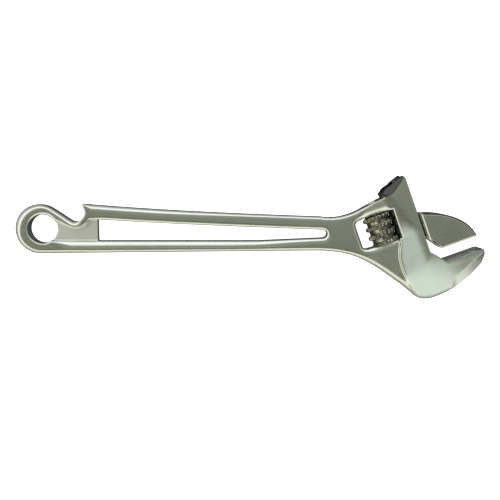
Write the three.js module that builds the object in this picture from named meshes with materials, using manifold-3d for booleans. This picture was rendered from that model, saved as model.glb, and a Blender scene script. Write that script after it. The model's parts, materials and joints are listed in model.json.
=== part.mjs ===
// Adjustable wrench, nominal 300 mm size, with a ring eye and a hook notch in the handle.
// Five pieces: one forged body, a movable jaw with its rack, a worm, the worm's pin and a spring.
//
// Drawing frame, in millimetres: X along the handle towards the head, Y towards the edge that
// carries the hook notch, Z through the thickness, with 0 at the middle of the eye ring.
// Head frame: turned by HEAD_TILT about Z, with its origin at the top corner of the slide face.
// Its X runs out of the slide face, past the jaws, and its -Y runs down the slide face.
// "Down" below is a distance along -Y of the head frame.
import * as THREE from "three";
import { mergeVertices } from "three/addons/utils/BufferGeometryUtils.js";
import Module from "manifold-3d";

const wasm = await Module();
wasm.setup();

// Driving dimensions of the handle.
const RING_RADIUS = 15.7;
const EYE_X = 2.3;
const EYE_RADIUS = 9.2;
const NOTCH_X = 23.3;
const NOTCH_Y = 10.5;
const NOTCH_RADIUS = 5.8;
const HANDLE_HALF_THICKNESS = 5.3;
const WEB_HALF_THICKNESS = 2.3;
const WEB_END_X = 37.4;
const WEB_RIM_WIDTH = 4.1;
const EDGE_BEVEL = 1.2;
const SLOT_END_X = 181.2;
const SLOT_END_Y = -3.2;
const SLOT_END_RADIUS = 2.7;
const SLOT_FLOOR_Y = -7.6;
const SLOT_ROOF_Y = 6;

// Driving dimensions of the head.
const SLIDE_CORNER_X = 234.1;
const SLIDE_CORNER_Y = 32.1;
const HEAD_TILT = THREE.MathUtils.degToRad(20);
const BARREL_HALF_THICKNESS = 9.7;
const CROWN_NEAR = -9;
const CROWN_FAR = -2.5;
const SLIDE_X = -1.5;
const SLIDE_LENGTH = 48.8;
const FIXED_GRIP_DOWN = 57.4;
const FIXED_GRIP_START = 5.8;
const FIXED_GRIP_END = 29.1;

// The window through the head that holds the worm.
const WINDOW_TOP = 15.1;
const WINDOW_BOTTOM = 34.2;
const WINDOW_LEFT = -40.5;
const WINDOW_RIGHT = -15.4;
const WINDOW_CORNER = 3;

// The rack bar, the bore that it slides in, and the neck that joins it to the jaw.
const BAR_X = -10.3;
const BAR_RADIUS = 7.2;
const BORE_RADIUS = 7.4;
const BORE_DEPTH = 56;
const BAR_TOP = 12;
const BAR_BOTTOM = 47;
const NECK_HALF_WIDTH = 3.7;
const NECK_SLOT_HALF_WIDTH = 3.9;
const JAW_TOP = 23.5;
const NECK_BOTTOM = 39.1;
const JAW_HALF_THICKNESS = 9;
const JAW_BEVEL = 1.2;
const SLIDE_GAP = 0.4;
const MOVING_GRIP_DOWN = 49.2;
const MOVING_GRIP_START = 6;
const MOVING_GRIP_END = 30.6;

// The worm, its pin and its spring. One right-hand thread is shared by the worm and the rack.
const WORM_X = -25.4;
const WORM_RADIUS = 9.6;
const WORM_ROOT = 7.6;
const WORM_PITCH = 5.8;
const CREST_WIDTH = 2;
const FLANK_WIDTH = 0.65;
const CREST_DOWN = 14.6;
const WORM_END_GAP = 0.25;
const RACK_CLEARANCE = 0.25;
const PIN_RADIUS = 2.4;
const PIN_HEAD_RADIUS = 3.2;
const PIN_HEAD_TOP = 8.4;
const PIN_HEAD_BOTTOM = 13.6;
const PIN_TIP = 41;
const PIN_GAP = 0.2;
const SPRING_WIRE_RADIUS = 0.4;
const SPRING_RADIUS = 3.4;
const SPRING_TURNS = 4;
const SPRING_SEAT_RADIUS = 4.3;
const SPRING_SEAT_DEPTH = 6.5;

const FAR = 400;
const ROUND_SIDES = 48;

// The head frame as a matrix that places head geometry in the drawing frame.
const headFrame = new THREE.Matrix4()
  .makeRotationZ(HEAD_TILT)
  .setPosition(SLIDE_CORNER_X, SLIDE_CORNER_Y, 0);

// A point of the head frame, given as across and down, in the drawing frame.
function headPoint(across, down) {
  const point = new THREE.Vector3(across, -down, 0).applyMatrix4(headFrame);
  return new THREE.Vector2(point.x, point.y);
}

// A closed three.js geometry as a solid that can be cut and joined.
function solid(geometry, matrix = new THREE.Matrix4()) {
  const bare = new THREE.BufferGeometry();
  bare.setAttribute("position", geometry.getAttribute("position").clone());
  bare.setIndex(geometry.getIndex());
  bare.applyMatrix4(matrix);
  const merged = mergeVertices(bare, 1e-4);
  const mesh = new wasm.Mesh({
    numProp: 3,
    vertProperties: new Float32Array(merged.getAttribute("position").array),
    triVerts: new Uint32Array(merged.getIndex().array),
  });
  return new wasm.Manifold(mesh);
}

// A finished solid as a named mesh.
function meshOf(name, shape, material) {
  const data = shape.getMesh();
  const geometry = new THREE.BufferGeometry();
  geometry.setAttribute("position", new THREE.BufferAttribute(data.vertProperties, 3));
  geometry.setIndex(new THREE.BufferAttribute(data.triVerts, 1));
  geometry.computeVertexNormals();
  const mesh = new THREE.Mesh(geometry, material);
  mesh.name = name;
  return mesh;
}

// A flat outline given thickness, centred on Z = 0, with its edges bevelled inwards.
function plate(shape, halfThickness, bevel = 0, matrix = undefined) {
  const geometry = new THREE.ExtrudeGeometry(shape, {
    depth: 2 * (halfThickness - bevel),
    curveSegments: 10,
    bevelEnabled: bevel > 0,
    bevelThickness: bevel,
    bevelSize: bevel,
    bevelOffset: -bevel,
    bevelSegments: 2,
  });
  geometry.translate(0, 0, bevel - halfThickness);
  return solid(geometry, matrix);
}

// A box of the drawing frame or the head frame, between two corners.
function box(low, high, matrix = undefined) {
  const size = high.map((value, axis) => value - low[axis]);
  const geometry = new THREE.BoxGeometry(...size);
  geometry.translate(...low.map((value, axis) => value + size[axis] / 2));
  return solid(geometry, matrix);
}

// A round bar of the head frame that runs down it at one distance across, from top to bottom.
function barDown(radius, across, top, bottom, matrix = undefined) {
  const geometry = new THREE.CylinderGeometry(radius, radius, bottom - top, ROUND_SIDES);
  geometry.translate(across, -(top + bottom) / 2, 0);
  return solid(geometry, matrix);
}

// The handle's outer outline: the eye ring, the hook notch, both long edges and the flare into
// the head, closed inside the barrel.
function handleOutline() {
  const notchDistance = Math.hypot(NOTCH_X, NOTCH_Y);
  const notchAngle = Math.atan2(NOTCH_Y, NOTCH_X);
  const tangentAngle = notchAngle + Math.acos((RING_RADIUS + NOTCH_RADIUS) / notchDistance);
  const hookAngle = THREE.MathUtils.degToRad(20);
  const hookTip = new THREE.Vector2(27.6, 16);
  const lowerFlare = headPoint(-24.5, 64.3);
  const heel = headPoint(-19.1, 73.4);
  const heelInside = headPoint(-8, 66);
  const topInside = headPoint(-8, 6);
  const shoulder = headPoint(-20.3, 6.6);
  const shape = new THREE.Shape();
  shape.moveTo(0, -RING_RADIUS);
  shape.lineTo(172, -14);
  shape.bezierCurveTo(202, -13.4, 209.5, -19.9, lowerFlare.x, lowerFlare.y);
  shape.lineTo(heel.x, heel.y);
  shape.lineTo(heelInside.x, heelInside.y);
  shape.lineTo(topInside.x, topInside.y);
  shape.lineTo(shoulder.x, shoulder.y);
  shape.lineTo(206.4, 13.4);
  shape.quadraticCurveTo(193, 5.6, 179.7, 7.8);
  shape.quadraticCurveTo(90.5, 10.65, hookTip.x, hookTip.y);
  shape.absarc(NOTCH_X, NOTCH_Y, NOTCH_RADIUS, hookAngle, tangentAngle - Math.PI, true);
  shape.absarc(0, 0, RING_RADIUS, tangentAngle, 1.5 * Math.PI, false);
  return shape;
}

// The one opening inside the handle's rim: the eye, the web's recess and the long slot.
function rimOpening() {
  const recessRadius = NOTCH_RADIUS + WEB_RIM_WIDTH;
  const recessStart = Math.asin((SLOT_ROOF_Y - NOTCH_Y) / recessRadius);
  const eyeEnd = 2 * Math.PI + Math.asin(SLOT_FLOOR_Y / EYE_RADIUS);
  const shape = new THREE.Path();
  shape.moveTo(140, SLOT_FLOOR_Y);
  shape.lineTo(SLOT_END_X, SLOT_END_Y - SLOT_END_RADIUS);
  shape.absarc(SLOT_END_X, SLOT_END_Y, SLOT_END_RADIUS, -Math.PI / 2, Math.PI / 2, false);
  shape.quadraticCurveTo(90, 2.6, WEB_END_X, SLOT_ROOF_Y);
  shape.absarc(NOTCH_X, NOTCH_Y, recessRadius, recessStart, -1.9, true);
  shape.absarc(EYE_X, 0, EYE_RADIUS, 0.62, eyeEnd, false);
  shape.closePath();
  return shape;
}

// The handle: a bevelled rim all round, and a thinner web between the eye and the slot.
function handleSolid() {
  const rim = handleOutline();
  rim.holes.push(rimOpening());
  const web = plate(handleOutline(), WEB_HALF_THICKNESS).intersect(
    box([EYE_X, -12, -WEB_HALF_THICKNESS - 1], [WEB_END_X, 8, WEB_HALF_THICKNESS + 1]),
  );
  const eye = new THREE.CylinderGeometry(EYE_RADIUS, EYE_RADIUS, 40, ROUND_SIDES);
  eye.rotateX(Math.PI / 2);
  eye.translate(EYE_X, 0, 0);
  return plate(rim, HANDLE_HALF_THICKNESS, EDGE_BEVEL).add(web).subtract(solid(eye));
}

// The barrel and the fixed jaw in plan, in the head frame.
function headOutline() {
  const shape = new THREE.Shape();
  shape.moveTo(SLIDE_X, 0.4);
  shape.lineTo(-2.8, 2.2);
  shape.lineTo(-9.7, 0.5);
  shape.lineTo(-15.9, -1.6);
  shape.lineTo(-19.1, -4);
  shape.lineTo(-16.9, -12);
  shape.lineTo(-16.9, -37.6);
  shape.quadraticCurveTo(-20.9, -44, -20.9, -55);
  shape.lineTo(-19.1, -73.4);
  shape.bezierCurveTo(-15, -80.3, -0.8, -78.8, 8.5, -75.2);
  shape.quadraticCurveTo(20.7, -70.7, 26.9, -66.7);
  shape.quadraticCurveTo(34, -61, FIXED_GRIP_END, -FIXED_GRIP_DOWN);
  shape.lineTo(FIXED_GRIP_START, -FIXED_GRIP_DOWN);
  shape.lineTo(SLIDE_X, -SLIDE_LENGTH);
  return shape;
}

// The head's section across the slide: a level crown that falls away to the slide face and on
// to the jaw's tip. Drawn as across and height.
function crownSection() {
  const half = BARREL_HALF_THICKNESS;
  const upper = [
    [-40, half - 3.3],
    [-21, half - 3.3],
    [-19.5, half - 2.2],
    [CROWN_NEAR, half],
    [CROWN_FAR, half],
    [SLIDE_X, half - 0.3],
    [14, half - 1.4],
    [32, half - 3.2],
    [40, half - 4],
  ].map(([across, height]) => new THREE.Vector2(across, height));
  const lower = upper.map((point) => new THREE.Vector2(point.x, -point.y)).reverse();
  return new THREE.Shape([...upper, ...lower]);
}

// The head's section along the slide: rounded at the open end and at the heel of the jaw.
// Drawn as down and height.
function lengthSection() {
  const half = BARREL_HALF_THICKNESS;
  const upper = [
    [-4, half - 4.4],
    [-1.4, half - 2.4],
    [1, half - 0.8],
    [4, half],
    [66, half],
    [72, half - 1],
    [76, half - 2.6],
    [80, half - 4.6],
  ].map(([down, height]) => new THREE.Vector2(down, height));
  const lower = upper.map((point) => new THREE.Vector2(point.x, -point.y)).reverse();
  return new THREE.Shape([...upper, ...lower]);
}

// The barrel and the fixed jaw: where the plan and the two sections meet.
function headSolid() {
  const sweepDown = new THREE.Matrix4().makeRotationX(Math.PI / 2);
  const sweepAcross = new THREE.Matrix4().makeBasis(
    new THREE.Vector3(0, -1, 0),
    new THREE.Vector3(0, 0, 1),
    new THREE.Vector3(-1, 0, 0),
  );
  const plan = plate(headOutline(), BARREL_HALF_THICKNESS + 1);
  const crown = plate(crownSection(), FAR, 0, sweepDown);
  const length = plate(lengthSection(), FAR, 0, sweepAcross);
  return plan.intersect(crown).intersect(length);
}

// The window's outline in the head frame, with rounded corners on the handle's side.
function windowOutline() {
  const r = WINDOW_CORNER;
  const shape = new THREE.Shape();
  shape.moveTo(WINDOW_RIGHT, -WINDOW_TOP);
  shape.lineTo(WINDOW_LEFT + r, -WINDOW_TOP);
  shape.absarc(WINDOW_LEFT + r, -WINDOW_TOP - r, r, Math.PI / 2, Math.PI, false);
  shape.absarc(WINDOW_LEFT + r, -WINDOW_BOTTOM + r, r, Math.PI, 1.5 * Math.PI, false);
  shape.lineTo(WINDOW_RIGHT, -WINDOW_BOTTOM);
  return shape;
}

// Everything that is cut out of the head: the worm's window, the rack's bore, the slot that the
// jaw's neck slides in, and the worm pin's stepped hole.
function headCuts() {
  const window = plate(windowOutline(), 40);
  const bore = barDown(BORE_RADIUS, BAR_X, -10, BORE_DEPTH);
  const neckSlot = box(
    [BAR_X, -SLIDE_LENGTH, -NECK_SLOT_HALF_WIDTH],
    [8, 10, NECK_SLOT_HALF_WIDTH],
  );
  const wormRoom = barDown(WORM_RADIUS + 0.4, WORM_X, WINDOW_TOP, WINDOW_BOTTOM);
  const pinHole = barDown(PIN_RADIUS + PIN_GAP, WORM_X, PIN_HEAD_TOP, PIN_TIP + 0.4);
  const pinHeadHole = barDown(PIN_HEAD_RADIUS + PIN_GAP, WORM_X, -5, PIN_HEAD_BOTTOM + PIN_GAP);
  return window.add(bore).add(neckSlot).add(wormRoom).add(pinHole).add(pinHeadHole);
}

// The forged body: handle, barrel and fixed jaw in one piece, in the drawing frame.
function wrenchBody(material) {
  const head = headSolid().transform(headFrame.elements);
  const cuts = headCuts().transform(headFrame.elements);
  return meshOf("wrench_body", handleSolid().add(head).subtract(cuts), material);
}

// A right-hand thread round the Y axis, covering at least the stretch from top to bottom down
// the head frame. Its crests are one pitch apart, and one crosses the +X side at CREST_DOWN.
// Growing it thickens the root, the crests and the flanks by a clearance.
function threadSolid(top, bottom, grow) {
  const sides = 28;
  const halfCrest = CREST_WIDTH / 2 + grow;
  const profile = [
    [-halfCrest - FLANK_WIDTH, WORM_ROOT + grow],
    [-halfCrest, WORM_RADIUS + grow],
    [halfCrest, WORM_RADIUS + grow],
    [halfCrest + FLANK_WIDTH, WORM_ROOT + grow],
  ];
  const perTurn = profile.length;
  const firstTurn = Math.floor((CREST_DOWN - bottom) / WORM_PITCH);
  const lastTurn = Math.ceil((CREST_DOWN - top) / WORM_PITCH) + 1;
  const rows = (lastTurn - firstTurn + 1) * perTurn;
  const positions = [];
  const triangles = [];

  function addVertex(row, column) {
    const [offset, radius] = profile[row % perTurn];
    const turn = firstTurn + Math.floor(row / perTurn) - column / sides;
    const angle = (2 * Math.PI * column) / sides;
    const height = offset - CREST_DOWN + WORM_PITCH * turn;
    positions.push(radius * Math.cos(angle), height, radius * Math.sin(angle));
  }

  // After a full turn a row meets the row one pitch below it.
  function vertex(row, column) {
    if (column < sides) return row * sides + column;
    return row < perTurn ? rows * sides + row : (row - perTurn) * sides;
  }

  // A fan from a point on the axis to the loop of vertices round one end.
  function closeEnd(loop, facesDown) {
    const centre = positions.length / 3;
    const heights = loop.map((index) => positions[3 * index + 1]);
    positions.push(0, (Math.min(...heights) + Math.max(...heights)) / 2, 0);
    loop.forEach((index, place) => {
      const next = loop[(place + 1) % loop.length];
      triangles.push(...(facesDown ? [index, next, centre] : [next, index, centre]));
    });
  }

  for (let row = 0; row < rows; row++) {
    for (let column = 0; column < sides; column++) addVertex(row, column);
  }
  for (let row = 0; row < perTurn; row++) addVertex(row, sides);
  for (let row = 0; row < rows - 1; row++) {
    for (let column = 0; column < sides; column++) {
      const near = vertex(row, column);
      const far = vertex(row, column + 1);
      const nearAbove = vertex(row + 1, column);
      const farAbove = vertex(row + 1, column + 1);
      triangles.push(near, nearAbove, far, far, nearAbove, farAbove);
    }
  }
  const columns = [...Array(sides).keys()];
  const seam = [...Array(perTurn).keys()];
  const lowLoop = columns.map((column) => vertex(0, column));
  const highLoop = columns.map((column) => vertex(rows - 1, column));
  closeEnd([...lowLoop, ...seam.map((row) => vertex(row, sides))], true);
  closeEnd([...highLoop, ...seam.map((row) => vertex(rows - 1 - perTurn + row, 0))], false);
  const geometry = new THREE.BufferGeometry();
  geometry.setAttribute("position", new THREE.Float32BufferAttribute(positions, 3));
  geometry.setIndex(triangles);
  return solid(geometry);
}

// The worm: a stretch of the thread, bored for its pin, with a seat for the spring in its upper
// end. It is built round its own axis.
function adjustingWorm(material) {
  const top = WINDOW_TOP + WORM_END_GAP;
  const bottom = WINDOW_BOTTOM - WORM_END_GAP;
  const thread = threadSolid(top, bottom, 0);
  const length = barDown(WORM_RADIUS + 1, 0, top, bottom);
  const pinBore = barDown(PIN_RADIUS + PIN_GAP, 0, top - 1, bottom + 1);
  const springSeat = barDown(SPRING_SEAT_RADIUS, 0, top - 1, top + SPRING_SEAT_DEPTH);
  const shape = thread.intersect(length).subtract(pinBore).subtract(springSeat);
  const worm = meshOf("adjusting_worm", shape, material);
  worm.position.x = WORM_X;
  return worm;
}

// The movable jaw: the jaw plate, the neck through the slot and the rack bar, with the rack's
// teeth cut by the same thread as the worm's.
function movableJaw(material) {
  const outline = new THREE.Shape();
  const back = SLIDE_X + SLIDE_GAP;
  outline.moveTo(back, -JAW_TOP);
  outline.lineTo(back, -NECK_BOTTOM);
  outline.lineTo(MOVING_GRIP_START, -MOVING_GRIP_DOWN);
  outline.lineTo(MOVING_GRIP_END, -MOVING_GRIP_DOWN);
  outline.bezierCurveTo(28.8, -36, 12, -25.5, back, -JAW_TOP);
  const jaw = plate(outline, JAW_HALF_THICKNESS, JAW_BEVEL);
  const neck = box(
    [BAR_X, -NECK_BOTTOM, -NECK_HALF_WIDTH],
    [back + 3, -JAW_TOP, NECK_HALF_WIDTH],
  );
  const bar = barDown(BAR_RADIUS, BAR_X, BAR_TOP, BAR_BOTTOM);
  const rackCut = threadSolid(BAR_TOP, BAR_BOTTOM, RACK_CLEARANCE).translate([WORM_X, 0, 0]);
  return meshOf("movable_jaw", jaw.add(neck).add(bar.subtract(rackCut)), material);
}

// The worm's pin: a plain shank with a threaded, slotted head that closes the hole.
function wormPin(material) {
  const shank = barDown(PIN_RADIUS, 0, PIN_HEAD_TOP, PIN_TIP);
  const head = barDown(PIN_HEAD_RADIUS, 0, PIN_HEAD_TOP, PIN_HEAD_BOTTOM);
  const slot = box([-4, -PIN_HEAD_TOP - 1.2, -0.5], [4, 0, 0.5]);
  const pin = meshOf("worm_pin", shank.add(head).subtract(slot), material);
  pin.position.x = WORM_X;
  return pin;
}

// The path of the spring's wire, down from the window's upper wall into the worm's seat.
class SpringPath extends THREE.Curve {
  getPoint(share, target = new THREE.Vector3()) {
    const top = WINDOW_TOP + SPRING_WIRE_RADIUS + 0.1;
    const bottom = WINDOW_TOP + WORM_END_GAP + SPRING_SEAT_DEPTH - SPRING_WIRE_RADIUS - 0.1;
    const angle = 2 * Math.PI * SPRING_TURNS * share;
    return target.set(
      SPRING_RADIUS * Math.cos(angle),
      -top - (bottom - top) * share,
      SPRING_RADIUS * Math.sin(angle),
    );
  }
}

// The spring that takes the play out of the worm.
function wormSpring(material) {
  const wire = new THREE.Shape();
  wire.absarc(0, 0, SPRING_WIRE_RADIUS, 0, 2 * Math.PI, false);
  const geometry = new THREE.ExtrudeGeometry(wire, {
    steps: 16 * SPRING_TURNS,
    curveSegments: 4,
    bevelEnabled: false,
    extrudePath: new SpringPath(),
  });
  const spring = meshOf("worm_spring", solid(geometry), material);
  spring.position.x = WORM_X;
  return spring;
}

function steel(color, roughness) {
  return new THREE.MeshStandardMaterial({ color, roughness, metalness: 1 });
}

const drawing = new THREE.Group();
drawing.add(wrenchBody(steel(0xc4c8bc, 0.22)));

const head = new THREE.Group();
head.position.set(SLIDE_CORNER_X, SLIDE_CORNER_Y, 0);
head.rotation.z = HEAD_TILT;
head.add(
  movableJaw(steel(0xbcc0b2, 0.24)),
  adjustingWorm(steel(0x9a9a88, 0.32)),
  wormPin(steel(0x8c8f8c, 0.35)),
  wormSpring(steel(0x7e7e78, 0.4)),
);
drawing.add(head);

// The part's frame: X along the handle, Z up through the thickness, with the origin at the
// bottom centre of the whole wrench's box.
const wrench = new THREE.Group();
wrench.add(drawing);
const extent = new THREE.Box3().setFromObject(wrench, true);
const middle = extent.getCenter(new THREE.Vector3());
drawing.position.set(-middle.x, -middle.y, -extent.min.z);

export default wrench;
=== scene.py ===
"""The looks of an adjustable wrench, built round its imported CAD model.

Every steel piece is a solid described by a formula: a field that is negative inside the metal.
The formulas work in millimetres and degrees of tilt, in two frames, as the CAD model does. The
drawing frame has X along the handle and its origin at the centre of the ring's outer circle, half
way through the thickness. The head frame is measured across, out of the slide face, and down,
along the slide face.
"""
import json
import math

import bpy
import numpy as np
import openvdb
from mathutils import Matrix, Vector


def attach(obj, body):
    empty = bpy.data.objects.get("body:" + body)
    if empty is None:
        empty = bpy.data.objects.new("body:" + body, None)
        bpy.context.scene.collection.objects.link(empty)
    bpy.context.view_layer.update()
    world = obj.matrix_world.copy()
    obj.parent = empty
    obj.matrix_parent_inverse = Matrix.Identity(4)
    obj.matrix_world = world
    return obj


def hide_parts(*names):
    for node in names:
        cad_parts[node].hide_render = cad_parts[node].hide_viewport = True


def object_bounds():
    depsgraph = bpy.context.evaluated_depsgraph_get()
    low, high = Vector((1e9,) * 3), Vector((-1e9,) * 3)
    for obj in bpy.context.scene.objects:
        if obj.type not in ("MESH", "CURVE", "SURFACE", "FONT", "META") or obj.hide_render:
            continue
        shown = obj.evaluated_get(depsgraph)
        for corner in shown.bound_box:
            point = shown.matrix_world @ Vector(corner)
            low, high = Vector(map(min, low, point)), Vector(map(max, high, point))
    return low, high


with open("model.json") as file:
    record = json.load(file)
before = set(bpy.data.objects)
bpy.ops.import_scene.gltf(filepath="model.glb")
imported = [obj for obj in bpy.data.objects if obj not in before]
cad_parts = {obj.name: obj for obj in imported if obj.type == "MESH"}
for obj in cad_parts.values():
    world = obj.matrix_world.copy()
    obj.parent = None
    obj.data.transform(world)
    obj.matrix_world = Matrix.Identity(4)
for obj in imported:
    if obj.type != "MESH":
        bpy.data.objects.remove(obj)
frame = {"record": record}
cad_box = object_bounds()

MM = 0.001

# The handle, in the drawing frame.
RING_RADIUS = 15.7
EYE_X = 2.3
EYE_RADIUS = 9.2
NOTCH = (23.3, 10.5)
NOTCH_RADIUS = 5.8
HANDLE_HALF = 5.3
WEB_HALF = 2.3
WEB_END_X = 37.4
WEB_RIM_WIDTH = 4.1
SLOT_END = (181.2, -3.2)
SLOT_END_RADIUS = 2.7
SLOT_FLOOR_Y = -7.6
SLOT_ROOF_Y = 6.0

# The head, in the head frame, whose origin in the drawing frame is the slide corner.
SLIDE_CORNER = (234.1, 32.1)
BARREL_HALF = 9.7
SLIDE_FACE = -1.5
SLIDE_LENGTH = 48.8
FIXED_GRIP_DOWN = 57.4
FIXED_GRIP_START = 5.8
FIXED_GRIP_END = 28.0
WINDOW_TOP = 15.1
WINDOW_BOTTOM = 34.2
WINDOW_LEFT = -40.5
WINDOW_RIGHT = -15.4
WINDOW_CORNER = 3.0
STEP_WIDTH = 2.0
STEP_HEIGHT = 2.4
TOP_SLANT = 0.77
TOP_TILT = 24
TIP_BEVEL_WIDTH = 6.2
TIP_BEVEL_TILT = 12
MOUTH_EDGE_TILT = 62

# The jaw, its neck and its rack bar.
BAR_ACROSS = -10.3
BAR_RADIUS = 7.2
BORE_RADIUS = 7.4
BORE_DEPTH = 56.0
BAR_TOP = 12.0
BAR_BOTTOM = 47.0
NECK_HALF = 3.7
NECK_SLOT_HALF = 3.9
SLIDE_GAP = 0.4
JAW_BACK = SLIDE_FACE + SLIDE_GAP
JAW_TOP = 23.5
NECK_BOTTOM = 39.1
JAW_HALF = 9.0
JAW_EDGE_WIDTH = 1.1
SLIDE_EDGE_REACH = 2.9
SLIDE_EDGE_DROP = 4.4
THROAT_BEVEL_WIDTH = 0.8
THROAT_BEVEL_TILT = 25
MOVING_GRIP_DOWN = 49.2
MOVING_GRIP_START = 6.0
MOVING_GRIP_END = 29.0

# The worm, its pin and its spring.
WORM_ACROSS = -25.4
WORM_MIDDLE = 0.5 * (WINDOW_TOP + WINDOW_BOTTOM)
WORM_RADIUS = 9.6
WORM_ROOT = 7.6
WORM_PITCH = 5.8
WORM_HALF_CREST = 1.0
WORM_FLANK = 0.65
WORM_CREST_DOWN = 14.6
WORM_END_GAP = 0.25
WORM_ROOM_GAP = 0.4
WORM_RIBS = 22
RIB_DEPTH = 1.0
RACK_CLEARANCE = 0.25
PIN_RADIUS = 2.4
PIN_HEAD_RADIUS = 3.2
PIN_HEAD_TOP = 8.4
PIN_HEAD_BOTTOM = 13.6
PIN_TIP = 41.0
PIN_GAP = 0.2
PIN_END_GAP = 0.4
PIN_THREAD_PITCH = 0.9
PIN_THREAD_DEPTH = 0.12
DRIVER_SLOT_HALF = 0.5
DRIVER_SLOT_DEPTH = 1.3
SPRING_WIRE = 0.4
SPRING_RADIUS = 3.4
SPRING_TURNS = 4
SPRING_SEAT_RADIUS = 4.3
SPRING_SEAT_DEPTH = 6.5

# How the two frames lie in the model's own frame, from its joints.
joints = {joint["name"]: joint for joint in frame["record"]["behaviour"]["joints"]}
DOWN = np.array(joints["jaw_slide"]["axis"][:2])
ACROSS = np.array([-DOWN[1], DOWN[0]])
worm_point = np.array(joints["worm_turn"]["pos_m"]) / MM
head_origin = worm_point[:2] - WORM_ACROSS * ACROSS - WORM_MIDDLE * DOWN
drawing_origin = np.array([*(head_origin - SLIDE_CORNER), worm_point[2]])


# ---- plan outlines and fields -------------------------------------------------------------


def arc(centre, radius, start, stop, count):
    """Points on an arc, with its angles in radians."""
    angles = np.linspace(start, stop, count)
    return [(centre[0] + radius * math.cos(a), centre[1] + radius * math.sin(a)) for a in angles]


def bezier(controls, count=16):
    """Points on the Bezier curve of any number of controls, without the first."""
    degree = len(controls) - 1
    controls = np.array(controls, float)
    made = []
    for share in np.linspace(0, 1, count + 1)[1:]:
        weights = [
            math.comb(degree, i) * share**i * (1 - share) ** (degree - i)
            for i in range(degree + 1)
        ]
        made.append(tuple(np.array(weights) @ controls))
    return made


def head_point(across, down):
    """A point of the head frame in the drawing frame."""
    place = np.array(SLIDE_CORNER) + across * ACROSS + down * DOWN
    return (place[0], place[1])


def head_axes(x, y):
    """Across and down in the head frame for points of the drawing frame."""
    from_x = x - SLIDE_CORNER[0]
    from_y = y - SLIDE_CORNER[1]
    across = from_x * ACROSS[0] + from_y * ACROSS[1]
    down = from_x * DOWN[0] + from_y * DOWN[1]
    return across, down


def outline_distance(x, y, points):
    """Signed distance to a closed outline, negative inside."""
    x, y = np.broadcast_arrays(x, y)
    nearest = np.full(x.shape, np.inf)
    inside = np.zeros(x.shape, bool)
    previous = points[-1]
    for point in points:
        step_x = point[0] - previous[0]
        step_y = point[1] - previous[1]
        to_x = x - previous[0]
        to_y = y - previous[1]
        share = (to_x * step_x + to_y * step_y) / (step_x**2 + step_y**2)
        share = np.clip(share, 0, 1)
        square = (to_x - share * step_x) ** 2 + (to_y - share * step_y) ** 2
        np.minimum(nearest, square, out=nearest)
        if step_y:
            crosses = (y >= min(previous[1], point[1])) & (y < max(previous[1], point[1]))
            inside ^= crosses & (to_x < step_x * to_y / step_y)
        previous = point
    distance = np.sqrt(nearest)
    return np.where(inside, -distance, distance)


def smooth_step(low, high, value):
    """0 up to the low value, 1 from the high one, and a smooth climb between them."""
    share = np.clip((value - low) / (high - low), 0, 1)
    return share * share * (3 - 2 * share)


def soft_max(a, b, width):
    """The larger field, so a cut or a meeting, with its edge rounded over a width."""
    overlap = np.maximum(width - np.abs(a - b), 0)
    return np.maximum(a, b) + overlap * overlap / (4 * width)


def soft_min(a, b, width):
    """The smaller field, so a join, with a fillet of that width."""
    return -soft_max(-a, -b, width)


def round_edge(first, second, reach, drop):
    """Where two surfaces meet, rounded over a reach on one and a drop on the other."""
    over_first = first / reach + 1
    over_second = second / drop + 1
    outside = np.hypot(np.maximum(over_first, 0), np.maximum(over_second, 0))
    inside = np.minimum(np.maximum(over_first, over_second), 0)
    return (outside + inside - 1) * np.minimum(reach, drop)


def chamfer(plan, height, reach, tilt):
    """A flat that starts a reach inside the edge and falls outwards at a tilt in degrees."""
    angle = np.radians(tilt)
    return (plan + reach) * np.sin(angle) + height * np.cos(angle)


# ---- the body -----------------------------------------------------------------------------


def handle_outline():
    """The ring, the hook notch, the long edges and the flare, closed inside the barrel."""
    reach = math.hypot(*NOTCH)
    tangent = math.atan2(NOTCH[1], NOTCH[0]) + math.acos((RING_RADIUS + NOTCH_RADIUS) / reach)
    hook_angle = math.radians(20)
    hook_tip = (27.6, 16.0)
    lower_flare = head_point(-24.5, 64.3)
    points = [(0, -RING_RADIUS), (172, -14)]
    points += bezier([points[-1], (202, -13.4), (209.5, -19.9), lower_flare])
    points += [head_point(-19.1, 73.4), head_point(-8, 66), head_point(-8, 6)]
    points += [head_point(-20.3, 6.6), (206.4, 13.4)]
    points += bezier([points[-1], (193, 5.6), (179.7, 7.8)])
    points += bezier([points[-1], (90.5, 10.65), hook_tip])
    points += arc(NOTCH, NOTCH_RADIUS, hook_angle, tangent - math.pi, 28)
    points += arc((0, 0), RING_RADIUS, tangent, 1.5 * math.pi, 48)[:-1]
    return points


def rim_opening():
    """The opening inside the rim: the eye, the web's recess and the long slot."""
    recess = NOTCH_RADIUS + WEB_RIM_WIDTH
    recess_start = math.asin((SLOT_ROOF_Y - NOTCH[1]) / recess)
    recess_end = -1.9
    eye_start = 0.62
    eye_end = 2 * math.pi + math.asin(SLOT_FLOOR_Y / EYE_RADIUS)
    slot_top = (SLOT_END[0], SLOT_END[1] + SLOT_END_RADIUS)
    points = [(140, SLOT_FLOOR_Y)]
    points += arc(SLOT_END, SLOT_END_RADIUS, -math.pi / 2, math.pi / 2, 20)
    points += bezier([slot_top, (90, 2.6), (WEB_END_X, SLOT_ROOF_Y)])
    points += arc(NOTCH, recess, recess_start, recess_end, 16)
    points += arc((EYE_X, 0), EYE_RADIUS, eye_start, eye_end, 48)
    return points


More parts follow.
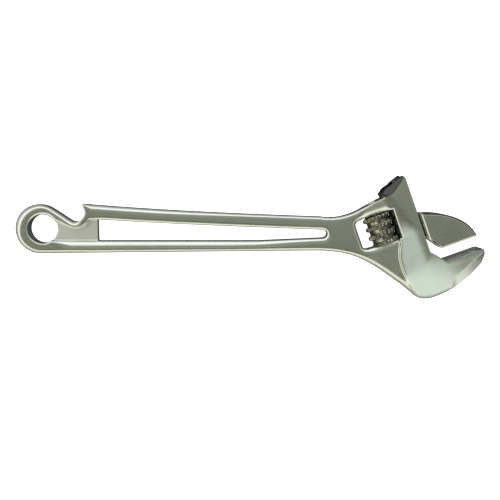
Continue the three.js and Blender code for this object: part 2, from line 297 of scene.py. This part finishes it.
def head_outline():
    """The barrel and the fixed jaw in plan, in the head frame."""
    points = [(SLIDE_FACE, -1.2), (-2.8, -3), (-9.7, -1), (-15.9, 1.4), (-19.1, 4), (-16.9, 12)]
    points += [(-16.9, 37.6)]
    points += bezier([points[-1], (-20.9, 44), (-20.9, 55)])
    points += [(-19.1, 73.4)]
    points += bezier([points[-1], (-15, 81), (-0.8, 79.4), (8.5, 75.2)])
    points += bezier([points[-1], (20.7, 70.7), (26.9, 66.7)])
    points += bezier([points[-1], (32.8, 61.2), (32, 57.6), (FIXED_GRIP_END, FIXED_GRIP_DOWN)])
    points += [(FIXED_GRIP_START, FIXED_GRIP_DOWN), (SLIDE_FACE, SLIDE_LENGTH)]
    return points


def mouth_outline():
    """The open space in front of the slide face and above the fixed grip, in the head frame."""
    past_head = 80
    above_head = -40
    return [
        (SLIDE_FACE, above_head),
        (SLIDE_FACE, SLIDE_LENGTH),
        (FIXED_GRIP_START, FIXED_GRIP_DOWN),
        (past_head, FIXED_GRIP_DOWN),
        (past_head, above_head),
    ]


def window_outline():
    """The worm's window in the head frame, with round corners on the handle's side."""
    left = WINDOW_LEFT + WINDOW_CORNER
    upper = WINDOW_TOP + WINDOW_CORNER
    lower = WINDOW_BOTTOM - WINDOW_CORNER
    points = [(WINDOW_RIGHT, WINDOW_BOTTOM)]
    points += arc((left, lower), WINDOW_CORNER, math.pi / 2, math.pi, 10)
    points += arc((left, upper), WINDOW_CORNER, math.pi, 1.5 * math.pi, 10)
    points += [(WINDOW_RIGHT, WINDOW_TOP)]
    return points


HANDLE_OUTLINE = handle_outline()
RIM_OPENING = rim_opening()
HEAD_OUTLINE = head_outline()
MOUTH_OUTLINE = mouth_outline()
WINDOW_OUTLINE = window_outline()


def outer_reach(x, y):
    """How far the handle's outer edges are rounded in plan, from the ring to the flare."""
    round_ring = 1 - smooth_step(-12, 4, x)
    along_top = 3.1 + 1.2 * smooth_step(10, 30, x) - 1.5 * smooth_step(70, 150, x)
    along_top = along_top - 1.9 * smooth_step(202, 216, x) + 2.2 * round_ring
    along_bottom = 2.6 + 0.4 * smooth_step(0, 30, x) + 1.8 * smooth_step(192, 222, x)
    along_bottom = along_bottom + 1.2 * round_ring
    reach = along_bottom + (along_top - along_bottom) * smooth_step(-9, 5, y)
    by_hook = smooth_step(22, 26, x) * (1 - smooth_step(28, 34, x)) * smooth_step(2, 6, y)
    hook_reach = 1.0
    return reach + (hook_reach - reach) * by_hook


def head_reach(across, down, from_mouth):
    """How far the head's outer edges are rounded in plan, most round the heel."""
    by_heel = smooth_step(1, 5, from_mouth) * smooth_step(40, 56, down)
    return 0.8 + 3.4 * by_heel * (1 - 0.55 * smooth_step(-2, 10, across))


def inner_reach(x, y):
    """How far the edges of the eye and of the slot are rounded in plan."""
    along_roof = 1.4 + 1.4 * smooth_step(30, 44, x)
    along_floor = 7.0 - 3.2 * smooth_step(120, 181, x)
    slot = along_floor + (along_roof - along_floor) * smooth_step(-5.5, -1, y)
    eye = 1.3 + 1.3 * smooth_step(-8, 6, y)
    return eye + (slot - eye) * smooth_step(6, 22, x)


def crown_height(across, down):
    """Half the head's thickness: full along a ridge, falling to the window, heel and tip."""
    ridge = np.minimum(-14.2 + 0.35 * (down - 7.6), -5)
    left_slope = 0.21 - 0.07 * smooth_step(44, 60, down)
    to_window = left_slope * soft_max(ridge - across, 0, 2.5)
    toward_tip = smooth_step(-9, 21, across)
    heel_slope = 0.26 - 0.22 * toward_tip
    to_heel = heel_slope * soft_max(down - 55.5 - 3 * toward_tip, 0, 10)
    to_tip = 0.03 * soft_max(across - 4, 0, 8) * smooth_step(40, 58, down)
    return BARREL_HALF - to_window - to_heel - to_tip


def forging_height(across, down, head_edge):
    """Half the forging's thickness: the handle's plate, the step beside the barrel, the crown."""
    above_window = 1 - smooth_step(16, 26, down)
    plate = HANDLE_HALF + 0.17 * soft_max(across + 42, 0, 6) * above_window
    climb = np.maximum(1 - head_edge / STEP_WIDTH, 0) ** 3
    step = soft_min(plate + STEP_HEIGHT * climb, crown_height(across, down), 0.4)
    return soft_max(step, HANDLE_HALF * smooth_step(-1, 0.5, head_edge), 0.2)


def past_top(across, down):
    """Distance beyond the bent line where the barrel's top end starts to fall away."""
    slanted = -(down + 1.1 + TOP_SLANT * (across + 2.8)) / math.hypot(1, TOP_SLANT)
    return soft_min(slanted, 6.2 - down, 2.0)


def rim_field(x, y, z):
    """The ring, the handle and the head with their rounded edges and their opening."""
    across, down = head_axes(x, y)
    handle_edge = outline_distance(x, y, HANDLE_OUTLINE)
    head_edge = outline_distance(across, down, HEAD_OUTLINE)
    opening = outline_distance(x, y, RIM_OPENING)
    from_mouth = outline_distance(across, down, MOUTH_OUTLINE)
    edge = soft_min(handle_edge, head_edge, 0.8)
    height = np.abs(z) - forging_height(across, down, head_edge)

    on_head = 1 - smooth_step(-1, 2, head_edge)
    reach = outer_reach(x, y)
    reach = reach + (head_reach(across, down, from_mouth) - reach) * on_head
    fullness = 0.68 + 0.3 * (1 - smooth_step(10, 40, x))
    drop = np.minimum(fullness * reach, 4.2)
    outside = round_edge(edge, height, reach, drop)
    inner = inner_reach(x, y)
    inside = round_edge(-opening, height, inner, 0.6 + 0.3 * inner)
    rim = soft_max(outside, inside, 0.5)

    top = chamfer(past_top(across, down), np.abs(z) - BARREL_HALF, 0, TOP_TILT)
    rim = soft_max(rim, np.minimum(top, 1 - head_edge), 0.5)
    bevel_width = TIP_BEVEL_WIDTH * smooth_step(0, 9, across) * smooth_step(58, 64, down)
    rim = soft_max(rim, chamfer(edge, height, bevel_width, TIP_BEVEL_TILT), 0.2)
    edge_width = 0.5 + 0.3 * smooth_step(44, 50, down) + 0.5 * smooth_step(4, 8, across)
    mouth_edge = chamfer(-from_mouth, height, edge_width, MOUTH_EDGE_TILT)
    return soft_max(rim, mouth_edge, 0.1)


def web_field(x, y, z):
    """The thinner web between the eye and the slot."""
    eye = EYE_RADIUS - np.hypot(x - EYE_X, y)
    edge = outline_distance(x, y, HANDLE_OUTLINE)
    plan = np.maximum.reduce(np.broadcast_arrays(x - WEB_END_X, EYE_X - x, eye, edge + 1.5))
    return round_edge(plan, np.abs(z) - WEB_HALF, 0.5, 0.5)


def cut_field(across, down, z):
    """The bore, the neck's slot, the worm's room and the pin's stepped hole."""
    bore = np.hypot(across - BAR_ACROSS, z) - BORE_RADIUS
    bore = soft_max(bore, down - BORE_DEPTH, 3.5)
    slot = np.maximum(np.abs(z) - NECK_SLOT_HALF, BAR_ACROSS - across)
    slot = np.maximum(slot, down - SLIDE_LENGTH)
    from_worm = np.hypot(across - WORM_ACROSS, z)
    room = np.maximum(
        from_worm - WORM_RADIUS - WORM_ROOM_GAP,
        np.abs(down - WORM_MIDDLE) - (WINDOW_BOTTOM - WORM_MIDDLE),
    )
    pin_head = np.maximum(from_worm - PIN_HEAD_RADIUS - PIN_GAP, down - PIN_HEAD_BOTTOM - PIN_GAP)
    pin_shank = np.maximum(from_worm - PIN_RADIUS - PIN_GAP, down - PIN_TIP - PIN_END_GAP)
    return np.minimum.reduce([bore, slot, room, pin_head, pin_shank])


def body_field(x, y, z):
    """The whole forging."""
    across, down = head_axes(x, y)
    forging = soft_min(rim_field(x, y, z), web_field(x, y, z), 0.6)
    window = outline_distance(across, down, WINDOW_OUTLINE)
    window_reach = 2.8 + 1.4 * smooth_step(-39, -34, across) - 3.2 * smooth_step(-20, -16, across)
    forging = round_edge(forging, -window, 0.5 * window_reach, window_reach)
    return soft_max(forging, -cut_field(across, down, z), 0.6)


def body_finish_and_shade(x, y):
    """How satin, tinted, shaded and ground the forging is at places in plan, each from 0 to 1.

    The web, the heel, the fixed jaw and the flare round the window are satin, and the heel and the
    jaw get a greener painted tint that stands in for the colour of their reflections. The barrel's
    top end, the window's right wall and the fixed grip's edge get a dark painted shade. The throat
    and the fixed grip are ground.
    """
    across, down = head_axes(x, y)
    opening = outline_distance(x, y, RIM_OPENING)
    head_edge = outline_distance(across, down, HEAD_OUTLINE)
    from_mouth = outline_distance(across, down, MOUTH_OUTLINE)
    web = smooth_step(0.2, 1.4, -opening)
    heel = 0.86 * smooth_step(25, 36, down - 0.4 * across - 3) * (1 - smooth_step(-9, -1.5, across))
    fixed_jaw = smooth_step(46, 60, down) * (1 - 0.75 * smooth_step(-6, 24, across))
    # Painted reflection tint: a greener colour on the heel and the fixed jaw, standing in for the
    # colour they reflect.
    reflection_tint = np.maximum(heel, fixed_jaw) * (1 - smooth_step(-1.5, 0.5, head_edge))
    round_window = 0.22 * smooth_step(203, 212, x) * smooth_step(0, 1.5, head_edge)
    # Painted shade on the barrel's top end, standing in for the dark it reflects.
    top = smooth_step(-1, 1.2, past_top(across, down)) * (1 - smooth_step(0.5, 1.5, head_edge))
    in_window = outline_distance(across, down, WINDOW_OUTLINE)
    # Painted shade on the window's right wall, which lies in shadow beside the worm.
    wall = 0.85 * (1 - smooth_step(0, 0.5, in_window)) * smooth_step(-24, -20, across)
    on_grip = smooth_step(FIXED_GRIP_START - 1, FIXED_GRIP_START + 1, across)
    # Painted shade: a dark band along the fixed grip's edge.
    grip_edge_shade = 0.55 * on_grip * (1 - smooth_step(1.4, 2.6, from_mouth))
    ground = (1 - smooth_step(0.05, 0.25, from_mouth)) * smooth_step(40, 44, down)
    ground *= 1 - 0.6 * on_grip
    return {
        "satin": np.maximum.reduce([web, reflection_tint, round_window]),
        "reflection_tint": reflection_tint,
        "painted_shade": np.maximum.reduce([top, wall, grip_edge_shade]),
        "ground": ground,
    }


# ---- the moving pieces --------------------------------------------------------------------


def round_worm_axis(across, z):
    """The distance from the worm's axis, and how far round it in turns, from -0.5 to 0.5."""
    side = across - WORM_ACROSS
    return np.hypot(side, z), np.arctan2(z, side) / (2 * math.pi)


def thread_field(across, down, z, grow):
    """The worm's endless right-hand thread, grown all over by a clearance."""
    radius, turn = round_worm_axis(across, z)
    place = (down - WORM_CREST_DOWN) / WORM_PITCH - turn
    from_crest = np.abs(place - np.round(place)) * WORM_PITCH
    slope = WORM_FLANK / (WORM_RADIUS - WORM_ROOT)
    flank = from_crest - WORM_HALF_CREST - slope * (WORM_RADIUS - radius) - grow
    ridge = soft_max(radius - WORM_RADIUS - grow, flank, 1.0)
    return soft_min(radius - WORM_ROOT - grow, ridge, 0.5)


def jaw_outline():
    """The moving jaw in plan, in the head frame: its slide edge, throat, grip and back."""
    points = [(JAW_BACK, JAW_TOP), (JAW_BACK, NECK_BOTTOM)]
    points += [(MOVING_GRIP_START, MOVING_GRIP_DOWN), (MOVING_GRIP_END, MOVING_GRIP_DOWN)]
    points += [(MOVING_GRIP_END + 0.3, MOVING_GRIP_DOWN - 1.2)]
    controls = [points[-1], (28, 36), (12, 25.5), points[0]]
    return points + bezier(controls, 24)[:-1]


JAW_OUTLINE = jaw_outline()


def jaw_field(x, y, z):
    """The jaw plate with its bevelled slide edge, the neck and the rack bar."""
    across, down = head_axes(x, y)
    edge = outline_distance(across, down, JAW_OUTLINE)
    height = np.abs(z) - JAW_HALF
    plate = round_edge(edge, height, 0.25, 0.25)
    on_back = smooth_step(1, 3, MOVING_GRIP_DOWN - down) * smooth_step(0, 2, across)
    back = chamfer(edge, height, JAW_EDGE_WIDTH * on_back, MOUTH_EDGE_TILT)
    throat_width = THROAT_BEVEL_WIDTH * smooth_step(37, 39, down)
    throat_bevel = chamfer(edge, height, throat_width, THROAT_BEVEL_TILT)
    plate = soft_max(plate, back, 0.1)
    slide_edge = round_edge(JAW_BACK - across, height, SLIDE_EDGE_REACH, SLIDE_EDGE_DROP)
    plate = np.maximum(plate, slide_edge)
    plate = soft_max(plate, throat_bevel, 0.2)
    neck = np.maximum.reduce(
        np.broadcast_arrays(
            np.abs(z) - NECK_HALF,
            BAR_ACROSS - across,
            across - JAW_BACK - 3,
            JAW_TOP - down,
            down - NECK_BOTTOM,
        )
    )
    bar = np.hypot(across - BAR_ACROSS, z) - BAR_RADIUS
    bar_middle = 0.5 * (BAR_TOP + BAR_BOTTOM)
    bar = soft_max(bar, np.abs(down - bar_middle) - (BAR_BOTTOM - bar_middle), 3.0)
    bar = np.maximum(bar, -thread_field(across, down, z, RACK_CLEARANCE))
    return soft_min(plate, soft_min(bar, neck, 0.5), 0.5)


def jaw_finish_and_shade(x, y):
    """How shaded and ground the jaw is: painted shade on its back edge and on its rack bar and
    neck, ground where it grips.
    """
    across, down = head_axes(x, y)
    edge = outline_distance(across, down, JAW_OUTLINE)
    on_back = smooth_step(1, 3, MOVING_GRIP_DOWN - down) * smooth_step(1, 3, across)
    # Painted shade along the jaw's back edge, standing in for its dark rounding.
    back = 0.8 * smooth_step(-1.5, -0.7, edge) * on_back
    # Painted shade on the rack bar and the neck, which lie in shadow inside the head.
    rack = 0.8 * (1 - smooth_step(JAW_BACK - 2, JAW_BACK - 1, across))
    throat_across = MOVING_GRIP_START - JAW_BACK
    throat_down = MOVING_GRIP_DOWN - NECK_BOTTOM
    from_throat = (across - JAW_BACK) * throat_down - (down - NECK_BOTTOM) * throat_across
    from_throat /= math.hypot(throat_across, throat_down)
    from_ground = np.minimum(MOVING_GRIP_DOWN - down, from_throat)
    ground = (1 - smooth_step(0.05, 0.25, from_ground)) * (across > JAW_BACK - 0.1)
    return {"painted_shade": np.maximum(back, rack), "ground": ground}


def worm_field(x, y, z):
    """The knurled worm with its bore and its spring seat."""
    across, down = head_axes(x, y)
    radius, turn = round_worm_axis(across, z)
    thread = thread_field(across, down, z, 0)
    groove = 0.5 - 0.5 * np.cos(2 * math.pi * WORM_RIBS * turn)
    knurl = radius - WORM_RADIUS + RIB_DEPTH * groove
    half_length = WINDOW_BOTTOM - WORM_MIDDLE - WORM_END_GAP
    ends = np.abs(down - WORM_MIDDLE) - half_length
    worm = soft_max(soft_max(thread, knurl, 0.3), ends, 0.6)
    seat_floor = WINDOW_TOP + WORM_END_GAP + SPRING_SEAT_DEPTH
    seat = np.maximum(radius - SPRING_SEAT_RADIUS, down - seat_floor)
    bore = radius - PIN_RADIUS - PIN_GAP
    return soft_max(worm, -np.minimum(bore, seat), 0.3)


def pin_field(x, y, z):
    """The worm's pin, with its fine thread and the slot in its head."""
    across, down = head_axes(x, y)
    radius, turn = round_worm_axis(across, z)
    shank = np.maximum(radius - PIN_RADIUS, down - PIN_TIP)
    thread = PIN_THREAD_DEPTH * (1 - np.cos(2 * math.pi * (down / PIN_THREAD_PITCH - turn)))
    head = np.maximum(radius - PIN_HEAD_RADIUS + thread, down - PIN_HEAD_BOTTOM)
    pin = soft_max(np.minimum(shank, head), PIN_HEAD_TOP - down, 0.4)
    driver_slot = np.maximum(
        np.abs(z) - DRIVER_SLOT_HALF, down - PIN_HEAD_TOP - DRIVER_SLOT_DEPTH
    )
    return np.maximum(pin, -driver_slot)


# ---- meshes -------------------------------------------------------------------------------


def settle(points, field, steps=2):
    """Moves points straight onto the field's zero surface."""
    nudge = 0.01
    for _ in range(steps):
        x, y, z = points.T
        value = field(x, y, z)
        slope = np.stack(
            [
                field(x + nudge, y, z) - value,
                field(x, y + nudge, z) - value,
                field(x, y, z + nudge) - value,
            ],
            axis=1,
        )
        slope /= nudge
        square = np.maximum((slope**2).sum(axis=1), 0.05)
        points = points - slope * (value / square)[:, None]
    return points


def mesh_object(name, points, faces, sharp_angle):
    """An object from points of the drawing frame in millimetres."""
    mesh = bpy.data.meshes.new(name)
    mesh.from_pydata(((points + drawing_origin) * MM).tolist(), [], faces)
    mesh.polygons.foreach_set("use_smooth", [True] * len(mesh.polygons))
    mesh.set_sharp_from_angle(angle=math.radians(sharp_angle))
    made = bpy.data.objects.new(name, mesh)
    bpy.context.scene.collection.objects.link(made)
    return made


def field_object(name, field, low, high, step, sharp_angle=50):
    """A solid's surface, from its field over a box of the drawing frame."""
    axes = [np.arange(a, b + step, step) for a, b in zip(low, high)]
    x, y, z = np.meshgrid(*axes, indexing="ij", sparse=True)
    band = 3 * step
    values = np.clip(field(x, y, z), -band, band).astype(np.float32)
    grid = openvdb.FloatGrid(band)
    grid.copyFromArray(values)
    points, quads = grid.convertToQuads(0.0)
    points = settle(points.astype(float) * step + np.array(low), field)
    return mesh_object(name, points, quads[:, ::-1].tolist(), sharp_angle)


def paint_finish_and_shade(piece, finish):
    """Stores a piece's finishes and its painted shade and tint, found in plan, at its mesh's
    points.
    """
    count = len(piece.data.vertices)
    places = np.empty(3 * count)
    piece.data.vertices.foreach_get("co", places)
    x, y, _ = (places.reshape(count, 3) / MM - drawing_origin).T
    for name, values in finish(x, y).items():
        layer = piece.data.attributes.new(name, "FLOAT", "POINT")
        layer.data.foreach_set("value", values.astype(np.float32))


def head_box(across, down, half_height, margin=1.0):
    """The box of the drawing frame that holds a rectangle of the head frame."""
    corners = np.array([head_point(a, d) for a in across for d in down])
    low = (*(corners.min(axis=0) - margin), -half_height - margin)
    high = (*(corners.max(axis=0) + margin), half_height + margin)
    return low, high


def spring_object():
    """The worm's spring: a round wire along a helix."""
    top = WINDOW_TOP + SPRING_WIRE + 0.1
    bottom = WINDOW_TOP + WORM_END_GAP + SPRING_SEAT_DEPTH - SPRING_WIRE - 0.1
    sides = 10
    steps = 32 * SPRING_TURNS
    points = []
    faces = []
    for step in range(steps + 1):
        angle = 2 * math.pi * SPRING_TURNS * step / steps
        down = top + (bottom - top) * step / steps
        for side in range(sides):
            around = 2 * math.pi * side / sides
            reach = SPRING_RADIUS + SPRING_WIRE * math.cos(around)
            plan = head_point(
                WORM_ACROSS + reach * math.cos(angle), down + SPRING_WIRE * math.sin(around)
            )
            points.append((*plan, reach * math.sin(angle)))
    for step in range(steps):
        for side in range(sides):
            here = step * sides + side
            beside = step * sides + (side + 1) % sides
            faces.append((here, beside, beside + sides, here + sides))
    faces.append(tuple(reversed(range(sides))))
    faces.append(tuple(range(steps * sides, (steps + 1) * sides)))
    return mesh_object("spring_wire", np.array(points), faces, 40)


# ---- materials ----------------------------------------------------------------------------


def new_material(name):
    """A node material, its node tree and its shader."""
    made = bpy.data.materials.new(name)
    made.use_nodes = True
    return made, made.node_tree, made.node_tree.nodes["Principled BSDF"]


def noise(tree, scale, detail, stretch=(1, 1, 1)):
    """A noise over the object's own space, which may be stretched along an axis."""
    place = tree.nodes.new("ShaderNodeTexCoord")
    mapping = tree.nodes.new("ShaderNodeMapping")
    mapping.inputs["Scale"].default_value = stretch
    made = tree.nodes.new("ShaderNodeTexNoise")
    made.inputs["Scale"].default_value = scale
    made.inputs["Detail"].default_value = detail
    tree.links.new(place.outputs["Object"], mapping.inputs["Vector"])
    tree.links.new(mapping.outputs["Vector"], made.inputs["Vector"])
    return made.outputs["Fac"]


def ramp(tree, value, stops):
    """A colour for each value, through a list of (place, colour)."""
    made = tree.nodes.new("ShaderNodeValToRGB")
    band = made.color_ramp
    while len(band.elements) < len(stops):
        band.elements.new(0.5)
    for element, (place, colour) in zip(band.elements, stops):
        element.position = place
        element.color = (*colour, 1)
    tree.links.new(value, made.inputs["Fac"])
    return made.outputs["Color"]


def map_range(tree, value, start, stop, low=0, high=1, kind="LINEAR"):
    """A value between a start and a stop as a number between two others."""
    made = tree.nodes.new("ShaderNodeMapRange")
    made.interpolation_type = kind
    made.inputs["From Min"].default_value = start
    made.inputs["From Max"].default_value = stop
    made.inputs["To Min"].default_value = low
    made.inputs["To Max"].default_value = high
    tree.links.new(value, made.inputs["Value"])
    return made.outputs["Result"]


def spread(tree, value, low, high):
    """The middle of a value's range, where a noise mostly lies, as a number between two others."""
    return map_range(tree, value, 0.3, 0.7, low, high)


def bump(tree, value, distance, under=None):
    """A normal that takes a value as height, over another normal if there is one."""
    made = tree.nodes.new("ShaderNodeBump")
    made.inputs["Strength"].default_value = 1
    made.inputs["Distance"].default_value = distance
    tree.links.new(value, made.inputs["Height"])
    if under is not None:
        tree.links.new(under, made.inputs["Normal"])
    return made.outputs["Normal"]


def painted(tree, name):
    """A finish that is stored at the mesh's points, as a number."""
    made = tree.nodes.new("ShaderNodeAttribute")
    made.attribute_name = name
    return made.outputs["Fac"]


def blend(tree, share, first, second):
    """A colour or number between two, by a share."""
    made = tree.nodes.new("ShaderNodeMix")
    made.data_type = "RGBA"
    tree.links.new(share, made.inputs["Factor"])
    for socket, value in (("A", first), ("B", second)):
        if isinstance(value, tuple):
            made.inputs[socket].default_value = (*value, 1)
        else:
            tree.links.new(value, made.inputs[socket])
    return made.outputs["Result"]


def plated_steel(name, tint, smoothness, zoned):
    """Bright plating over a forging, ground on its grips, and with satin zones on the body."""
    made, tree, shader = new_material(name)
    # The colour of the painted reflection tint.
    reflection_tint_colour = (0.83, 0.95, 0.93)
    # The colour of the painted shade.
    painted_shade_colour = (0.07, 0.074, 0.072)
    ground_colour = (0.88, 0.88, 0.86)
    low = tuple(0.94 * channel for channel in tint)
    colour = ramp(tree, noise(tree, 60, 3), [(0.3, low), (0.7, tint)])
    haze = noise(tree, 220, 5, (1, 3, 3))
    roughness = spread(tree, haze, smoothness, smoothness + 0.07)
    if zoned:
        # Painted reflection tint, laid where the mesh is marked for it.
        colour = blend(tree, painted(tree, "reflection_tint"), colour, reflection_tint_colour)
        satin = spread(tree, haze, 0.44, 0.52)
        roughness = blend(tree, painted(tree, "satin"), roughness, satin)
    # Painted shade: a near-black colour where the mesh is marked, standing in for shadow and dark
    # reflections.
    colour = blend(tree, painted(tree, "painted_shade"), colour, painted_shade_colour)
    colour = blend(tree, painted(tree, "ground"), colour, ground_colour)
    tree.links.new(colour, shader.inputs["Base Color"])
    tree.links.new(roughness, shader.inputs["Roughness"])
    metal = map_range(tree, painted(tree, "ground"), 0.3, 0.7, 1, 0.4)
    tree.links.new(metal, shader.inputs["Metallic"])
    waves = bump(tree, noise(tree, 45, 1), 0.00012)
    lines = bump(tree, noise(tree, 900, 4, (0.15, 1, 1)), 0.0000035, waves)
    tree.links.new(lines, shader.inputs["Normal"])
    return made


def worm_steel():
    """The worm's serrated steel, duller and browner than the plating, with dark grime on it."""
    made, tree, shader = new_material("worm_serrated_steel")
    shader.inputs["Metallic"].default_value = 1
    grime = noise(tree, 500, 4)
    grimy = (0.05, 0.048, 0.04)
    bare = (0.6, 0.59, 0.48)
    colour = ramp(tree, grime, [(0.3, grimy), (0.7, bare)])
    tree.links.new(colour, shader.inputs["Base Color"])
    tree.links.new(spread(tree, grime, 0.34, 0.22), shader.inputs["Roughness"])
    tree.links.new(bump(tree, noise(tree, 1400, 3), 0.00002), shader.inputs["Normal"])
    return made


def turned_steel(name, tint, roughness):
    """Plain turned or drawn steel with fine marks."""
    made, tree, shader = new_material(name)
    shader.inputs["Metallic"].default_value = 1
    low = tuple(0.75 * channel for channel in tint)
    marks = noise(tree, 900, 3)
    tree.links.new(ramp(tree, marks, [(0.3, low), (0.7, tint)]), shader.inputs["Base Color"])
    tree.links.new(spread(tree, marks, roughness, roughness + 0.12), shader.inputs["Roughness"])
    tree.links.new(bump(tree, marks, 0.00001), shader.inputs["Normal"])
    return made


# ---- the pieces ---------------------------------------------------------------------------


def finish_piece(piece, body, node, material):
    """Gives a piece its material and its place in the frame."""
    piece.data.materials.append(material)
    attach(piece, body)
    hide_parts(node)


def build_pieces():
    coarse = 1.0
    plating = plated_steel("plated_forging", (0.80, 0.82, 0.76), 0.16, True)
    jaw_plating = plated_steel("plated_jaw", (0.78, 0.80, 0.74), 0.17, False)

    # The box round the whole forging, with some room to spare.
    low = (-RING_RADIUS - 1.5, -47.5, -BARREL_HALF - 1)
    high = (286, 35.5, BARREL_HALF + 1)
    body = field_object("forged_body", body_field, low, high, 0.38 * coarse)
    paint_finish_and_shade(body, body_finish_and_shade)
    finish_piece(body, "body", "wrench_body", plating)

    low, high = head_box((-17, 32), (10, 51), JAW_HALF)
    jaw = field_object("sliding_jaw", jaw_field, low, high, 0.26 * coarse)
    paint_finish_and_shade(jaw, jaw_finish_and_shade)
    finish_piece(jaw, "jaw", "movable_jaw", jaw_plating)

    worm_sides = (WORM_ACROSS - WORM_RADIUS, WORM_ACROSS + WORM_RADIUS)
    low, high = head_box(worm_sides, (WINDOW_TOP, WINDOW_BOTTOM), WORM_RADIUS)
    worm = field_object("knurled_worm", worm_field, low, high, 0.24 * coarse, 35)
    finish_piece(worm, "worm", "adjusting_worm", worm_steel())

    pin_sides = (WORM_ACROSS - PIN_HEAD_RADIUS, WORM_ACROSS + PIN_HEAD_RADIUS)
    low, high = head_box(pin_sides, (PIN_HEAD_TOP, PIN_TIP), PIN_HEAD_RADIUS)
    pin = field_object("slotted_pin", pin_field, low, high, 0.2 * coarse, 35)
    finish_piece(pin, "body", "worm_pin", turned_steel("pin", (0.6, 0.6, 0.57), 0.25))

    wire = turned_steel("spring_wire", (0.45, 0.45, 0.44), 0.3)
    finish_piece(spring_object(), "body", "worm_spring", wire)


# ---- the studio ---------------------------------------------------------------------------


def ramp_by_angle(tree, height, stops):
    """A colour for each height, through a list of (degrees from overhead, colour), lowest first."""
    places = [0.5 + 0.5 * math.cos(math.radians(degrees)) for degrees, _ in stops]
    return ramp(tree, height, [(place, colour) for place, (_, colour) in zip(places, stops)])


def multiplied(tree, first, second):
    """Two colours multiplied."""
    made = tree.nodes.new("ShaderNodeMix")
    made.data_type = "RGBA"
    made.blend_type = "MULTIPLY"
    made.inputs["Factor"].default_value = 1
    tree.links.new(first, made.inputs["A"])
    tree.links.new(second, made.inputs["B"])
    return made.outputs["Result"]


def world_light():
    """The room: a dim ceiling, a bright ring round it, greyer walls and a dark ground."""
    world = bpy.data.worlds.new("studio")
    world.use_nodes = True
    bpy.context.scene.world = world
    tree = world.node_tree
    place = tree.nodes.new("ShaderNodeTexCoord")
    parts = tree.nodes.new("ShaderNodeSeparateXYZ")
    tree.links.new(place.outputs["Generated"], parts.inputs["Vector"])
    height = map_range(tree, parts.outputs["Z"], -1, 1)
    far_side = map_range(tree, parts.outputs["Y"], -0.3, 0.3, kind="SMOOTHSTEP")
    right_end = map_range(tree, parts.outputs["X"], 0.4, 0.66)

    ceiling_colours = [
        (60, (0.03, 0.032, 0.028)),
        (24, (0.17, 0.178, 0.13)),
        (14, (0.165, 0.173, 0.128)),
        (5, (0.21, 0.23, 0.18)),
    ]
    ceiling_tints = [
        (0, (0.78, 0.78, 0.76)),
        (0.4, (1.25, 1.26, 1.35)),
        (0.52, (1.3, 1.3, 1.4)),
        (0.75, (1.6, 1.6, 1.8)),
    ]
    plain_ceiling = ramp_by_angle(tree, height, ceiling_colours)
    ceiling = multiplied(tree, plain_ceiling, ramp(tree, far_side, ceiling_tints))

    wall_colours = [(0, (1.1, 1.1, 0.94)), (1, (1.25, 1.27, 1.27))]
    dim_wall = (0.18, 0.19, 0.17)
    walls = blend(tree, right_end, ramp(tree, far_side, wall_colours), dim_wall)

    shares = [(150, 0.02), (120, 0.14), (98, 0.3), (84, 0.4), (66, 0.6), (56, 1), (34, 1), (24, 0)]
    greys = [(degrees, (share, share, share)) for degrees, share in shares]
    room = blend(tree, ramp_by_angle(tree, height, greys), ceiling, walls)
    seen = tree.nodes.new("ShaderNodeLightPath").outputs["Is Camera Ray"]
    shown = blend(tree, seen, room, (1, 1, 1))
    tree.links.new(shown, tree.nodes["Background"].inputs["Color"])


def fill_light():
    """A broad soft lamp that lights the floor and doesn't show in the plating."""
    data = bpy.data.lights.new("fill", "AREA")
    data.shape = "DISK"
    data.size = 2.5
    data.energy = 40
    lamp = bpy.data.objects.new("fill", data)
    lamp.location = (0, 0, 2)
    lamp.visible_glossy = False
    bpy.context.scene.collection.objects.link(lamp)


def floor():
    """The plain pale floor, which the plating doesn't reflect."""
    half = 4.0
    level = cad_box[0][2]
    sides = [(-1, -1), (1, -1), (1, 1), (-1, 1)]
    corners = [(half * x, half * y, level) for x, y in sides]
    mesh = bpy.data.meshes.new("floor")
    mesh.from_pydata(corners, [], [(0, 1, 2, 3)])
    made = bpy.data.objects.new("floor", mesh)
    material, tree, shader = new_material("pale_floor")
    shader.inputs["Base Color"].default_value = (0.93, 0.93, 0.93, 1)
    shader.inputs["Roughness"].default_value = 0.9
    shader.inputs["Specular IOR Level"].default_value = 0
    shader.inputs["Emission Color"].default_value = (1, 1, 1, 1)
    shader.inputs["Emission Strength"].default_value = 0.9
    mesh.materials.append(material)
    made.visible_glossy = False
    bpy.context.scene.collection.objects.link(made)


def camera():
    """Nearly overhead and leaning a little, as close as a hand-held camera is."""
    distance = 0.480
    lean = math.atan2(0.050, distance)
    frame_width = 0.3226
    sensor_width = 36
    aim = (np.array([134.7, -13.9, 0]) + drawing_origin) * MM
    data = bpy.data.cameras.new("camera")
    data.sensor_width = sensor_width
    data.lens = sensor_width * distance / frame_width
    made = bpy.data.objects.new("camera", data)
    rise = distance * math.cos(lean)
    made.location = (aim[0], aim[1] + distance * math.sin(lean), aim[2] + rise)
    made.rotation_euler = (-lean, 0, 0)
    bpy.context.scene.collection.objects.link(made)
    bpy.context.scene.camera = made


bpy.context.scene.view_settings.view_transform = "Standard"
camera()
floor()
world_light()
fill_light()
build_pieces()
